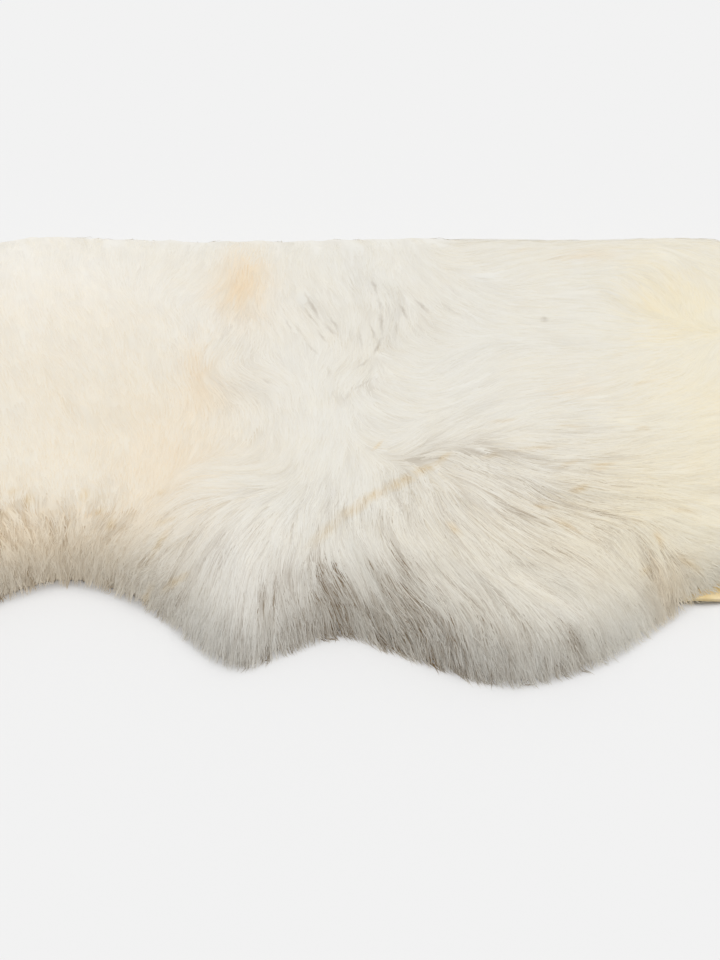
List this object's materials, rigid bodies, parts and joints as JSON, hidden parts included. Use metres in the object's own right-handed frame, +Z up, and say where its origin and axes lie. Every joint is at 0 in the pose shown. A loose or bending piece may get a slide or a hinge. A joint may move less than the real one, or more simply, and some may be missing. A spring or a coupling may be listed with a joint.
{
  "type": "sheepskin rug",
  "caption": "Flat natural-shape sheepskin rug: one tanned hide lying flat, wool side up, with a long lumpy cream fleece whose locks droop to the floor round the rim.",
  "frame": {"origin": "middle of the rug's bounding box, on the floor it lies on", "axes": "+Z up out of the fleece, +X from the neck end to the tail end, -Y towards the near flank with the hind leg lobe"},
  "size_m": [0.945, 0.585, 0.0637],
  "materials": {
    "leather": "tanned suede, cream to tan, matte",
    "wool": "long combed sheep's wool, ivory with warm peach and yellow patches, matte with a soft sheen"
  },
  "bodies": {
    "root": {"hide": "leather", "fleece": "wool"}
  },
  "joints": []
}
